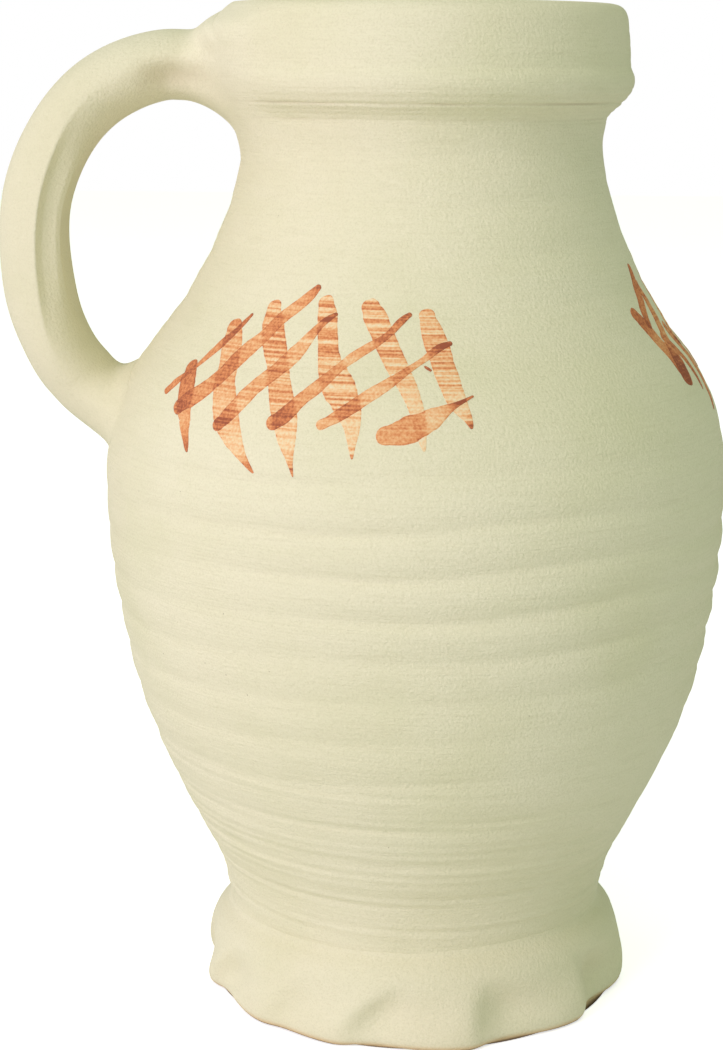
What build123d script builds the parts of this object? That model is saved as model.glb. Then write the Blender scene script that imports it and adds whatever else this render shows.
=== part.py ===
"""Ceramic pitcher: a wheel-thrown jug with a collar rim, a thumbed foot and a strap handle.

Frame: the origin is the middle of the flat underside, +Z points up the wheel's axis,
the handle stands on the -X side and the front painted panel faces -Y. Millimetres.
Angles round the jug are degrees from the front (-Y), positive towards +X.
"""
import os
from math import cos, radians, sin

from build123d import *

# ---- driving dimensions ----

# thrown body
jug_height = 220.0
belly_radius = 68.6
belly_height = 112.0
neck_radius = 39.4
neck_drop = 29.0                # from the rim down to the narrowest part of the neck
waist_radius = 43.0
waist_height = 21.0
base_radius = 40.0
wall_thickness = 5.5
floor_thickness = 8.0
floor_fillet = 6.0
lower_shape = [(0.21, 0.26), (0.39, 0.56), (0.69, 0.87)]      # shares of height and of radius
shoulder_shape = [(0.25, 0.07), (0.46, 0.35), (0.71, 0.77)]

# collar rim
collar_radius = 45.2
collar_band_height = 12.5
collar_seat_rise = 4.5          # from the narrowest part of the neck up to the collar's seat
collar_seat_flare = 0.5
bead_stand = 1.4
bead_height = 3.5               # from the bead's crest up to the band
bead_drop = 3.5                 # from the bead's crest down to the cove
mouth_radius = 38.6
throat_height = 6.0
lip_fillet = 2.4
groove_radius = 0.5
groove_places = (0.14, 0.36)    # shares of the way up the cove and the bead

# thumbed foot
foot_radius = 48.9
foot_lip_height = 4.5
foot_lip_undercut = 1.5
foot_shoulder_radius = 45.9
foot_shoulder_height = 15.0
foot_feather = 0.7
thumb_count = 12
thumb_depth = 2.9
thumb_crown = 0.8
thumb_radius = 77.0
first_crest_angle = 16.0

# strap handle
strap_width = 27.0
strap_thickness = 15.3
strap_edge_fillet = 3.0
handle_standoff = 16.5          # from the belly out to the middle of the strap
handle_drop = 13.0              # from the rim down to the middle of the strap
knuckle_reach = 35.0
knuckle_height = 37.5
grip_straight = 2.5
lower_root_rise = 15.27         # from the belly up to where the strap's middle ends in the wall
lower_root_depth = 6.4          # from the wall's outside in to that end

# clay smeared round the handle's two roots
wad_cover = 1.2
upper_wad_length = 9.0
upper_wad_spread = 9.0
upper_wad_rise = 3.2
lower_wad_length = 11.0
lower_wad_spread = 7.0
lower_wad_rise = 3.5

# painted slip
coat_thickness = 0.2
side_panel_turn = 112.0
side_panel_lift = 6.0
back_panel_turn = -120.0

# Brush strokes of one panel: (angle, height above the belly line, width) along each stroke.
uprights = [
    [(-52, 35, 2), (-49.5, 31, 4.8), (-47, 26.5, 4.4), (-44, 21, 1.6)],
    [(-45.5, 43, 2.4), (-42, 38, 5.4), (-37, 29, 6.2), (-32, 21, 3), (-28.5, 17, 0.8)],
    [(-36, 47.5, 2.4), (-33, 42, 5.5), (-25.5, 31, 5.5), (-22.5, 23, 4), (-21, 17, 0.8)],
    [(-22.5, 49, 2), (-19.5, 42, 4.6), (-15, 34, 7), (-11.5, 27, 4), (-10.5, 21, 0.8)],
    [(-11.5, 49, 2), (-8.5, 44.5, 5), (-3, 36, 4.4), (0, 29.5, 3.2), (1.5, 23, 0.8)],
    [(1.5, 47.5, 1.8), (4, 41.5, 5.1), (6.5, 34.5, 4.6), (8.5, 29.5, 2.8), (9.5, 27, 1.2)],
]
diagonals = [
    [(-54.5, 29, 1.5), (-52.5, 31.5, 2.2), (-48, 36.5, 1.5), (-44.5, 41, 2.3), (-41.5, 45, 0.8)],
    [(-49, 26, 2.5), (-45.5, 29.5, 4.6), (-38.5, 38, 4.4), (-30.5, 46.5, 3), (-25, 51, 1.2)],
    [(-38, 24, 2), (-34.5, 28.5, 4), (-27.5, 37, 4), (-22.5, 43.5, 2), (-19.5, 46, 0.8)],
    [(-26, 26, 2.7), (-22.5, 29.5, 3.6), (-14.5, 37.5, 2.4), (-7, 42.5, 1.8), (-2, 46.5, 1)],
    [(-17, 26.5, 1.6), (-12.5, 29, 2.9), (-5, 34.5, 2.6), (1, 38.5, 1.6), (6.5, 41.5, 1)],
    [(-6.5, 25, 2), (-3, 25.5, 5.4), (0.5, 27, 5.8), (5, 29.5, 2.4), (10, 32, 0.8)],
]

os.makedirs("parts", exist_ok=True)

# ---- outline of the thrown wall, in radius and height, shared by every piece on it ----
neck_height = jug_height - neck_drop
seat_height = neck_height + collar_seat_rise
seat_radius = neck_radius + collar_seat_flare
upright = (0, 1)


def between(start, end, shape):
    """Points from start to end, each at a share of the height and a share of the radius."""
    rise, growth = end[1] - start[1], end[0] - start[0]
    return [(start[0] + growth * radius, start[1] + rise * height) for height, radius in shape]


def beside(curve, distance, stations=12):
    """Points that keep a distance from a rising curve, outwards if it is positive."""
    places = [curve @ (step / stations) for step in range(stations + 1)]
    headings = [curve % (step / stations) for step in range(stations + 1)]
    return [
        (place.X + heading.Y * distance, place.Y - heading.X * distance)
        for place, heading in zip(places, headings)
    ]


base = (base_radius, 0)
waist = (waist_radius, waist_height)
belly = (belly_radius, belly_height)
neck = (neck_radius, neck_height)
seat = (seat_radius, seat_height)
with BuildLine() as wall_outline:
    Line(base, waist)
    lower_points = between(waist, belly, lower_shape)
    lower_wall = Spline(waist, *lower_points, belly, tangents=(upright, upright))
    shoulder_points = between(belly, neck, shoulder_shape)
    shoulder = Spline(belly, *shoulder_points, neck, tangents=(upright, upright))
    Line(neck, seat)



def wall_radius(height):
    """Outer radius of the thrown wall on the shoulder, at a height."""
    level = Edge.make_line((0, height), (2 * belly_radius, height))
    return shoulder.find_intersection_points(level)[0].X


# The jug as if it were solid: what is luted on is cut back to its skin.
with BuildPart() as wall_envelope:
    with BuildSketch(Plane.XZ):
        with BuildLine():
            add(wall_outline.line)
            Polyline(seat, (0, seat_height), (0, 0), base)
        make_face()
    revolve(axis=Axis.Z)

# ---- thrown body: floor, belly, shoulder and neck in one wall ----
with BuildPart() as hollow:
    with BuildSketch(Plane.XZ):
        with BuildLine():
            inside = beside(lower_wall, -wall_thickness) + beside(shoulder, -wall_thickness)[1:]
            Spline(*inside, tangents=(upright, upright))
            Polyline(inside[-1], (seat_radius - wall_thickness, seat_height), (0, seat_height),
                     (0, floor_thickness), (base_radius - wall_thickness, floor_thickness), inside[0])
        make_face()
    revolve(axis=Axis.Z)
    fillet(edges().filter_by(GeomType.CIRCLE).group_by(Axis.Z)[0], floor_fillet)

with BuildPart() as thrown_body:
    add(wall_envelope.part)
    add(hollow.part, mode=Mode.SUBTRACT)
thrown_body.part.label = "thrown_body"
export_step(thrown_body.part, "parts/thrown_body.step")

# ---- collar rim: cove, turned bead and upright band round the mouth ----
band_foot = jug_height - collar_band_height
bead_crest = (collar_radius + bead_stand, band_foot - bead_height)
bead_foot = (collar_radius - bead_stand / 2, bead_crest[1] - bead_drop)
with BuildPart() as plain_collar:
    with BuildSketch(Plane.XZ):
        with BuildLine():
            band_edge = (collar_radius, band_foot)
            cove = Spline(seat, bead_foot, bead_crest, band_edge, tangents=(upright, upright))
            Polyline(band_edge, (collar_radius, jug_height), (mouth_radius, jug_height),
                     (mouth_radius, seat_height + throat_height),
                     (seat_radius - wall_thickness, seat_height), seat)
        make_face()
        fillet(vertices().group_by(Axis.Y)[-1], lip_fillet)
    revolve(axis=Axis.Z)

# The grooves were turned before the handle went on, so they run on beneath its root.
with BuildPart() as rim_collar:
    add(plain_collar.part)
    for place in groove_places:
        middle = cove @ place
        with Locations((0, 0, middle.Y)):
            Torus(middle.X, groove_radius, mode=Mode.SUBTRACT)
rim_collar.part.label = "rim_collar"
export_step(rim_collar.part, "parts/rim_collar.step")

# ---- thumbed foot: a coil pressed on round the base, one thumb mark beside the next ----
with BuildPart() as thumb_press:
    with BuildSketch(Plane.XZ):
        with BuildLine():
            low_edge = (thumb_radius - thumb_crown, -foot_lip_height)
            high_edge = (thumb_radius - thumb_crown, waist_height)
            ThreePointArc(low_edge, (thumb_radius, foot_lip_height), high_edge)
            Polyline(high_edge, (0, waist_height), (0, -foot_lip_height), low_edge)
        make_face()
    revolve(axis=Axis.Z)

feather = (waist_radius + foot_feather, waist_height)
with BuildPart() as foot_frill:
    with BuildSketch(Plane.XZ):
        with BuildLine():
            lip = (foot_radius, foot_lip_height)
            Spline(feather, (foot_shoulder_radius, foot_shoulder_height), lip)
            Spline(lip, (foot_radius - foot_lip_undercut, 0), tangents=((0, -1), (-1, -1)))
            Polyline((foot_radius - foot_lip_undercut, 0), (base_radius / 2, 0),
                     (base_radius / 2, waist_height), feather)
        make_face()
    revolve(axis=Axis.Z)
    add(wall_envelope.part, mode=Mode.SUBTRACT)
    first_thumb = first_crest_angle + 180 / thumb_count - 90
    with PolarLocations(foot_radius - thumb_depth + thumb_radius, thumb_count, start_angle=first_thumb):
        add(thumb_press.part, mode=Mode.SUBTRACT)
foot_frill.part.label = "foot_frill"
export_step(foot_frill.part, "parts/foot_frill.step")

# ---- strap handle: a pulled strap bent from the collar down to the shoulder ----
grip_reach = belly_radius + handle_standoff
strap_height = jug_height - handle_drop
lower_root_height = belly_height + lower_root_rise
lower_root = (lower_root_depth - wall_radius(lower_root_height), lower_root_height)
with BuildLine(Plane.XZ) as strap_route:
    bend_middle = (knuckle_reach - grip_reach, strap_height - knuckle_height)
    Line((wall_thickness / 2 - collar_radius, strap_height), (bend_middle[0], strap_height))
    EllipticalCenterArc(bend_middle, knuckle_reach, knuckle_height, start_angle=90, arc_size=90)
    grip_end = (-grip_reach, bend_middle[1] - grip_straight)
    Line((-grip_reach, bend_middle[1]), grip_end)
    lower_bend = TangentArc(grip_end, lower_root, tangent=(0, -1))

with BuildPart() as collar_envelope:
    with Locations((0, 0, seat_height)):
        Cylinder(mouth_radius, jug_height - seat_height, align=(Align.CENTER, Align.CENTER, Align.MIN))
    add(plain_collar.part)
    add(wall_envelope.part)

with BuildPart() as strap_handle:
    with BuildSketch(Plane(strap_route.line @ 0, x_dir=(0, 1, 0), z_dir=strap_route.line % 0)):
        with BuildLine():
            ThreePointArc((-strap_width / 2, 0), (0, strap_thickness / 2), (strap_width / 2, 0))
            ThreePointArc((strap_width / 2, 0), (0, -strap_thickness / 2), (-strap_width / 2, 0))
        make_face()
        fillet(vertices(), strap_edge_fillet)
    sweep(path=strap_route.line)
    add(collar_envelope.part, mode=Mode.SUBTRACT)
strap_handle.part.label = "strap_handle"
export_step(strap_handle.part, "parts/strap_handle.step")

# ---- wads: soft clay worked round both roots until the strap runs into the wall ----
strap_half = (strap_width / 2 + wad_cover, strap_thickness / 2 + wad_cover)


def wad_section(spread, rise, share):
    """Half axes of a wad that opens from the strap, slowly at first, to its full spread."""
    return strap_half[0] + spread * share**2, strap_half[1] + rise * share**2


with BuildPart() as upper_wad:
    for share in (0, 0.5, 1):
        root_x = wall_thickness - collar_radius - (upper_wad_length + wall_thickness) * (1 - share)
        with BuildSketch(Plane((root_x, 0, strap_height), x_dir=(0, 1, 0), z_dir=(-1, 0, 0))):
            Ellipse(*wad_section(upper_wad_spread, upper_wad_rise, share))
    loft()
    add(strap_handle.part, mode=Mode.SUBTRACT)
    add(collar_envelope.part, mode=Mode.SUBTRACT)
upper_wad.part.label = "upper_wad"
export_step(upper_wad.part, "parts/upper_wad.step")

wad_start = 1 - (lower_wad_length + wall_thickness) / lower_bend.length
with BuildPart() as lower_wad:
    for share in (0, 0.5, 1):
        place = wad_start + (1 - wad_start) * share
        with BuildSketch(Plane(lower_bend @ place, x_dir=(0, 1, 0), z_dir=lower_bend % place)):
            Ellipse(*wad_section(lower_wad_spread, lower_wad_rise, share))
    loft()
    add(strap_handle.part, mode=Mode.SUBTRACT)
    add(wall_envelope.part, mode=Mode.SUBTRACT)
lower_wad.part.label = "lower_wad"
export_step(lower_wad.part, "parts/lower_wad.step")

# ---- painted slip: three lattice panels, each of upright strokes crossed by a second coat ----
def coat_skin(under, over):
    """A skin round the shoulder between two depths from the wall, seamed behind the handle."""
    with BuildPart() as skin:
        with BuildSketch(Plane((0, 0, 0), x_dir=(-1, 0, 0), z_dir=(0, 1, 0))):
            with BuildLine():
                underside, topside = beside(shoulder, under), beside(shoulder, over)
                if under == 0:
                    add(shoulder)
                else:
                    Spline(*underside, tangents=(upright, upright))
                Line(underside[-1], topside[-1])
                Spline(*topside, tangents=(upright, upright))
                Line(topside[0], underside[0])
            make_face()
        revolve(axis=Axis.Z)
    return skin.part


first_coat = coat_skin(0, coat_thickness)
second_coat = coat_skin(0, 2 * coat_thickness)
first_coat_cutter = coat_skin(-coat_thickness, coat_thickness)


def stroke_flanks(stroke, middle):
    """The two sides of a brush stroke, head to tip, seen square on from the angle of its middle."""
    route = [
        Vector(wall_radius(height) * sin(radians(angle - middle)), height)
        for angle, height, width in stroke
    ]
    left, right = [], []
    for index, (angle, height, width) in enumerate(stroke):
        heading = (route[min(index + 1, len(route) - 1)] - route[max(index - 1, 0)]).normalized()
        side = heading.rotate(Axis.Z, 90) * (width / 2)
        left.append(route[index] + side)
        right.append(route[index] - side)
    head = route[0] + (route[0] - route[1]).normalized() * (stroke[0][2] / 2)
    tip = route[-1] + (route[-1] - route[-2]).normalized() * (stroke[-1][2] / 2)
    return [head, *left, tip], [head, *right, tip]


def brush(stroke, skin):
    """One stroke of slip: its outline carried outwards through the skin that it fills."""
    middle = stroke[len(stroke) // 2][0]
    facing = radians(middle)
    outwards = Vector(sin(facing), -cos(facing))
    with BuildPart() as painted:
        with BuildSketch(Plane(outwards * neck_radius, x_dir=(cos(facing), sin(facing), 0), z_dir=outwards)):
            with BuildLine():
                for flank in stroke_flanks(stroke, middle):
                    Spline(*flank)
            make_face()
        extrude(amount=belly_radius)
        add(skin, mode=Mode.INTERSECT)
    return painted.part


def placed(strokes, turn, lift):
    """A panel's strokes at real heights, carried round the jug and up the shoulder."""
    return [
        [(angle + turn, belly_height + rise + lift, width) for angle, rise, width in stroke]
        for stroke in strokes
    ]


def keep(coat, name):
    coat.label = name
    export_step(coat, f"parts/{name}.step")


def paint_panel(name, turn, lift=0):
    """One lattice: upright strokes first, then the slanting ones laid across them."""
    first_strokes = placed(uprights, turn, lift)
    with BuildPart() as under:
        add([brush(stroke, first_coat) for stroke in first_strokes])
    keep(under.part, f"{name}_uprights")
    with BuildPart() as across:
        add([brush(stroke, second_coat) for stroke in placed(diagonals, turn, lift)])
        add([brush(stroke, first_coat_cutter) for stroke in first_strokes], mode=Mode.SUBTRACT)
    keep(across.part, f"{name}_diagonals")


paint_panel("front", 0)
paint_panel("side", side_panel_turn, side_panel_lift)
paint_panel("back", back_panel_turn)
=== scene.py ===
import bpy
import numpy as np
from mathutils import Matrix, Vector


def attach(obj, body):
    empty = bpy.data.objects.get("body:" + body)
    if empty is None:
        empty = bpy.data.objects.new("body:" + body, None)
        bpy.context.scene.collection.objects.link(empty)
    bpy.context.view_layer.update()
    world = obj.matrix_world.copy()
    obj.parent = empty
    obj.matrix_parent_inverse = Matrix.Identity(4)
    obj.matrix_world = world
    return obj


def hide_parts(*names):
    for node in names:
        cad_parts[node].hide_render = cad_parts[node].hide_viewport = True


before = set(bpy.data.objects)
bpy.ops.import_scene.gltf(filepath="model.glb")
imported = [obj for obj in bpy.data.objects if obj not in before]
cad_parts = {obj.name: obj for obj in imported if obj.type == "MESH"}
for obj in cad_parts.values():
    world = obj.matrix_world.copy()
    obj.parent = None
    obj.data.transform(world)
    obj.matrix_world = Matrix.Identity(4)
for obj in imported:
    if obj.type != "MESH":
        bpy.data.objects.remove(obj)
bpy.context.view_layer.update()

# ---- Thrown jug ----
# The floor, belly, neck and collar are one wall of pale clay, thrown on the wheel.
# Rising fingers left a soft spiral of rings, a tool turned the bead and two sharp lines
# under the band, and the clay was fired without a glaze.
millimetre = 0.001                 # in the frame's metres
jug_height = 220.0                 # in millimetres, as every size below
floor_height = 8.0
wall_thickness = 5.5
collar_seat = 195.5
segments_round = 300
wall_outline = [                   # height, radius
    (0, 40), (11, 41.6), (21, 43), (26, 43.7), (32, 45.7), (40, 49.7), (50, 54.6), (60, 59),
    (72, 63.1), (86, 66), (100, 68), (112, 68.7), (122, 68.6), (130, 67.3), (138, 64.6),
    (145, 60.4), (152, 54.9), (160, 49.6), (168, 45.5), (176, 42.2), (184, 39.9), (191, 39.0),
    (collar_seat, 39.7),
]
collar_outline = [
    (collar_seat, 39.6), (197.0, 40.4), (198.2, 41.7), (199.3, 43.0), (200.4, 43.9), (201.6, 44.8),
    (202.8, 45.3), (204, 45.5), (205.2, 45.4), (206.4, 44.9), (207.8, 44.6), (210, 44.5), (212.7, 44.25),
    (215.3, 43.95), (217, 43.75), (218.1, 43.4), (218.9, 42.9), (219.5, 42.2), (219.85, 41.4),
    (jug_height, 40.7),
]
rubbed_outline = [                 # where wet fingers smoothed the handle's root over the collar
    (186, 39.6), (190, 39.8), (194, 40.8), (198, 42.6), (202, 44.6), (206, 45.9), (210, 46.5), (213, 46.9),
    (215.3, 46.2), (216.7, 44.9), (218, 43.3), (219, 42.2), (219.6, 41.4), (219.85, 41.0),
    (jug_height, 40.7),
]
lip_inside = [(219.8, 39.9), (219.1, 39.1), (217.8, 38.6), (214, 38.5), (208, 38.5), (201.5, 38.6)]
turned_lines = [                   # height, depth, width
    (196.3, 0.14, 0.3), (197.4, 0.1, 0.2), (198.3, 0.12, 0.22), (199.6, 0.34, 0.32), (201.0, 0.1, 0.25),
    (202.4, 0.07, 0.2), (206.9, 0.1, 0.3), (211.6, 0.06, 0.3), (214.4, 0.05, 0.25),
]
ring_heights = [                   # where each turn of the throwing spiral passes the front
    0, 9, 20, 33, 44, 53.5, 64.5, 74, 83, 92, 100.6, 109.4, 118.3, 128, 138, 149, 160, 170, 180, 190,
    200, 210, 221,
]
ring_depths = [                    # height, depth of the hollow between two rings
    (0, 0.05), (21, 0.15), (31, 0.3), (47, 0.42), (64, 0.5), (80, 0.62), (92, 0.78), (100, 0.8), (110, 0.62),
    (119, 0.55), (128, 0.38), (138, 0.3), (150, 0.38), (172, 0.42), (186, 0.3), (195, 0), (jug_height, 0),
]
ring_bluntness = 0.34              # the lower, the narrower the hollows between the swells
ring_rest = 0.72                   # share of a ring's relief that lies inside the outline
ring_front, ring_spread = -8.0, 42.0    # degrees: the middle and reach of the side where rings are deep
ring_least, ring_gain = 0.78, 0.6       # depth of the rings elsewhere, and how much more on that side
centre_lean = [                    # height, how far the wheel's centre wandered towards +x
    (0, 0.6), (20, 0.4), (40, 0), (60, 0.1), (80, 0), (112, -0.4), (150, -0.2), (180, 0.3), (200, 0.1),
    (jug_height, 0),
]
fine_depths = [                    # height, depth of the close lines the fingertips left between the rings
    (0, 0), (18, 0.1), (27, 0.29), (40, 0.34), (54, 0.28), (66, 0.13), (90, 0.1), (110, 0.08), (150, 0.06),
    (176, 0.07), (190, 0.06), (196, 0), (jug_height, 0),
]
fine_share = 0.4
handle_angle = -90.0               # degrees from the front
rubbed_from, rubbed_to = 28.0, 53.0     # degrees to either side of the handle
rubbed_bottom, rubbed_full = 184, 192   # heights between which the smoothing sets in

# Each wave is a size, how many times it goes round the jug, a height to one radian, and a start.
ring_waves = [(0.08, 2, 31, 0.4), (0.06, 3, 17, 2.1), (0.05, 5, 11, 4.0)]
depth_waves = [(0.3, 1, 19, 1.0), (0.25, 2, 11, 3.3), (0.16, 4, 7, 5.2)]
fine_waves = [(1.0, 3, 0.47, 0.3), (0.8, 2, 0.33, 2.0), (0.9, 4, 0.69, 4.4)]
wall_waves = [(0.16, 2, 60, 0.8), (0.09, 3, 37, 2.6), (0.05, 5, 23, 1.1)]
inside_waves = [(0.25, 1, 17, 0.3), (0.12, 3, 9, 1.9)]


def eased_through(places, values):
    """A smooth run of values that passes each given value at its place."""
    places, values = np.asarray(places, float), np.asarray(values, float)
    slopes = np.gradient(values, places, axis=0)

    def at(place):
        place = np.asarray(place, float)
        left = np.clip(np.searchsorted(places, place) - 1, 0, len(places) - 2)
        run = places[left + 1] - places[left]
        share = np.clip((place - places[left]) / run, 0, 1)
        if values.ndim > 1:
            share, run = share[..., None], run[..., None]
        before, after = values[left], values[left + 1]
        rise_before, rise_after = slopes[left] * run, slopes[left + 1] * run
        bend = 2 * (before - after) + rise_before + rise_after
        turn = 3 * (after - before) - 2 * rise_before - rise_after
        return ((bend * share + turn) * share + rise_before) * share + before

    return at


def by_height(stations):
    heights, amounts = zip(*stations)
    return eased_through(heights, amounts)


def fade(amount, start, end):
    """0 before start and 1 past end, with no corner at either."""
    share = np.clip((amount - start) / (end - start), 0, 1)
    return share * share * (3 - 2 * share)


def waver(angle, height, waves):
    """The unevenness of a hand on the wheel: slow waves round and up the clay."""
    turn = np.radians(angle)
    return sum(size * np.sin(count * turn + height / length + start) for size, count, length, start in waves)


def away_from(angle, middle):
    """Degrees round the jug between an angle and another, to either side."""
    return np.abs((angle - middle + 180) % 360 - 180)


wall_at = by_height(wall_outline)
collar_at = by_height(collar_outline)
rubbed_at = by_height(rubbed_outline)
depth_at = by_height(ring_depths)
fine_at = by_height(fine_depths)
lean_at = by_height(centre_lean)


def ring_relief(angle, height):
    """Relief of the throwing spiral: sharp hollows with a soft swell between each two, and finer lines."""
    turn = np.interp(height, ring_heights, range(len(ring_heights))) - angle / 360
    turn = turn + waver(angle, height, ring_waves)
    swell = (np.sin(np.pi * turn) ** 2 + 0.01) ** ring_bluntness
    strength = ring_least + ring_gain * np.exp(-((away_from(angle, ring_front) / ring_spread) ** 2))
    uneven = waver(angle, height, depth_waves)
    depth = depth_at(height) * strength * (1 + uneven)
    fine = fine_at(height) * waver(angle, height, fine_waves) * (0.6 + uneven)
    return depth * (swell - ring_rest) + fine_share * fine


def outer_radius(angle, height):
    angle, height = np.broadcast_arrays(np.asarray(angle, float), np.asarray(height, float))
    turned = np.where(height < collar_seat, wall_at(height), collar_at(height))
    for middle, depth, width in turned_lines:
        turned = turned - depth * np.exp(-((height - middle) / width) ** 2)
    rubbed = np.where(height < rubbed_outline[0][0], turned, rubbed_at(height))
    smooth = 1 - fade(away_from(angle, handle_angle), rubbed_from, rubbed_to)
    smooth = smooth * fade(height, rubbed_bottom, rubbed_full)
    radius = turned + (rubbed - turned) * smooth
    return radius + ring_relief(angle, height) * (1 - smooth) + waver(angle, height, wall_waves)


def round_points(angle, radius, height, lift=0.0):
    """Points round the jug's slightly wandering centre, lifted a little from their height."""
    angle, radius, height = np.broadcast_arrays(angle, radius, height)
    turn = np.radians(angle)
    return np.stack([lean_at(height) + radius * np.sin(turn), -radius * np.cos(turn), height + lift], -1)


def on_wall(angle, height, proud=0.0):
    """The point of the jug's outside at an angle from the front and a height."""
    return round_points(angle, outer_radius(angle, height) + proud, height)


def put_in_scene(name, data):
    placed = bpy.data.objects.new(name, data)
    bpy.context.scene.collection.objects.link(placed)
    return placed


def smooth_piece(name, points, faces):
    """A piece with rounded shading, from points in millimetres."""
    mesh = bpy.data.meshes.new(name)
    mesh.from_pydata((points * millimetre).tolist(), [], faces)
    mesh.shade_smooth()
    return put_in_scene(name, mesh)


def clay_skin(name, grid, ends="closed"):
    """A mesh on a grid of points, rings by points round, with its two ends closed or joined."""
    rings, around = grid.shape[:2]
    bands = rings if ends == "joined" else rings - 1
    ring, step = np.meshgrid(np.arange(bands), np.arange(around), indexing="ij")
    onward, beside = (ring + 1) % rings, (step + 1) % around
    corners = [
        ring * around + step, ring * around + beside, onward * around + beside, onward * around + step,
    ]
    faces = np.stack(corners, -1).reshape(-1, 4).tolist()
    points = grid.reshape(-1, 3)
    if ends == "closed":
        first_middle, last_middle = len(points), len(points) + 1
        last_ring = (rings - 1) * around
        points = np.vstack([points, grid[0].mean(0), grid[-1].mean(0)])
        pairs = [(here, (here + 1) % around) for here in range(around)]
        faces += [(there, here, first_middle) for here, there in pairs]
        faces += [(last_ring + here, last_ring + there, last_middle) for here, there in pairs]
    return smooth_piece(name, points, faces)


angles = np.arange(segments_round) * 360 / segments_round - 180
outside_heights = np.concatenate([      # close together where the clay carries fine lines
    np.arange(0, 16, 3.0), np.arange(16, 66, 0.45), np.arange(66, 194, 0.75), np.arange(194, 203, 0.17),
    np.arange(203, 216, 0.5),
    [216, 216.8, 217.5, 218.2, 218.7, 219.2, 219.5, 219.8, 219.93, jug_height],
])
outside = [on_wall(angles, height) for height in outside_heights]

floor_curve = 6.0                  # radius between the wall and the floor inside
floor_flat, floor_swell = 24, 0.3  # radius of the floor's middle, and how far it swells up there
inside_rings = list(lip_inside)    # height, radius
for height in np.arange(198, 16, -3.2):
    inside_rings.append((height, float(wall_at(min(height, collar_seat))) - wall_thickness))
floor_radius = float(wall_at(floor_height)) - wall_thickness
for turn in np.radians([15, 35, 55, 75, 90]):
    height = floor_height + floor_curve * (1 - np.sin(turn))
    inside_rings.append((height, floor_radius - floor_curve * (1 - np.cos(turn))))
for radius in (floor_flat, 18, 12, 7, 3):
    inside_rings.append((floor_height + floor_swell * (floor_flat - radius) / floor_flat, radius))
inside_gain = 1.3                  # the rings are deeper inside, where the other hand pressed
inside = []
for height, radius in inside_rings:
    depth = fade(radius, 12, 30) * fade(215 - height, 0, 12)     # none on the floor or at the lip
    swell = waver(angles, height, inside_waves) + inside_gain * ring_relief(angles, height)
    inside.append(round_points(angles, radius + depth * swell, height))

underside_edge, underside_rise = 40.0, 0.9     # the floor is hollow underneath, highest at its middle
turns = np.radians(angles)
underside = []
for radius in (2, 8, 16, 26, 34, 38.5):
    rise = np.full_like(angles, underside_rise * (1 - (radius / underside_edge) ** 2))
    underside.append(np.stack([radius * np.sin(turns), -radius * np.cos(turns), rise], -1))
jug = clay_skin("thrown_jug", np.array(underside + outside + inside))

pale_clay = (0.80, 0.755, 0.56, 1)
buff_clay = (0.74, 0.71, 0.49, 1)
pink_clay = (0.80, 0.715, 0.545, 1)
drag_buff = (0.62, 0.57, 0.38, 1)
speck_brown = (0.30, 0.25, 0.15, 1)
groove_brown = (0.42, 0.31, 0.19, 1)
clay_roughness = 0.88
dull_sheen = 0.25
brown_groove_lines = [(199.6, 0.42), (196.3, 0.2)]     # height and strength of the brown lines under the band


def add_node(tree, kind, feeds=(), **settings):
    """A shader node with its settings, each named socket given a value or another node's output."""
    made = tree.nodes.new(kind)
    for name, value in settings.items():
        setattr(made, name, value)
    for socket, feed in dict(feeds).items():
        if isinstance(feed, bpy.types.NodeSocket):
            tree.links.new(feed, made.inputs[socket])
        else:
            made.inputs[socket].default_value = feed
    return made


def math_node(tree, operation, first, second=0.0):
    return add_node(tree, "ShaderNodeMath", {0: first, 1: second}, operation=operation).outputs[0]


def times(tree, first, second):
    return math_node(tree, "MULTIPLY", first, second)


def rest_of(tree, share):
    return math_node(tree, "SUBTRACT", 1.0, share)


def mix_colours(tree, share, first, second):
    return add_node(tree, "ShaderNodeMix", {0: share, 6: first, 7: second}, data_type="RGBA").outputs[2]


def limits(tree, value, low, high):
    """0 up to low, 1 from high on."""
    feeds = {"Value": value, "From Min": low, "From Max": high}
    return add_node(tree, "ShaderNodeMapRange", feeds, interpolation_type="SMOOTHSTEP").outputs[0]


def clay_place(tree):
    """The place on the piece, in metres, which every pattern in the clay follows."""
    return add_node(tree, "ShaderNodeTexCoord").outputs["Object"]


def axis_of(tree, place, axis):
    return add_node(tree, "ShaderNodeSeparateXYZ", {0: place}).outputs[axis]


def noise(tree, place, scale, detail):
    feeds = {"Vector": place, "Scale": scale, "Detail": detail}
    return add_node(tree, "ShaderNodeTexNoise", feeds).outputs[0]


def wheel_lines(tree, place, along, across, detail=4.0):
    """Noise drawn out level round the wheel: along is cycles per radian, across is per metre of height."""
    turn = math_node(tree, "ARCTAN2", axis_of(tree, place, 0), times(tree, axis_of(tree, place, 1), -1.0))
    feeds = {0: times(tree, turn, along), 2: times(tree, axis_of(tree, place, 2), across)}
    return noise(tree, add_node(tree, "ShaderNodeCombineXYZ", feeds).outputs[0], 1.0, detail)


def matt_finish(name, roughness):
    """A new finish with next to no shine."""
    finish = bpy.data.materials.new(name)
    finish.use_nodes = True
    shader = finish.node_tree.nodes["Principled BSDF"]
    shader.inputs["Roughness"].default_value = roughness
    shader.inputs["Specular IOR Level"].default_value = dull_sheen
    return finish


def give_colour(finish, colour):
    finish.node_tree.links.new(colour, finish.node_tree.nodes["Principled BSDF"].inputs["Base Color"])


def give_grain(finish, relief, strength, depth):
    """A fine relief under the light, its full depth in metres."""
    tree = finish.node_tree
    bump = add_node(tree, "ShaderNodeBump", {"Height": relief, "Strength": strength, "Distance": depth})
    tree.links.new(bump.outputs[0], tree.nodes["Principled BSDF"].inputs["Normal"])


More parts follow.
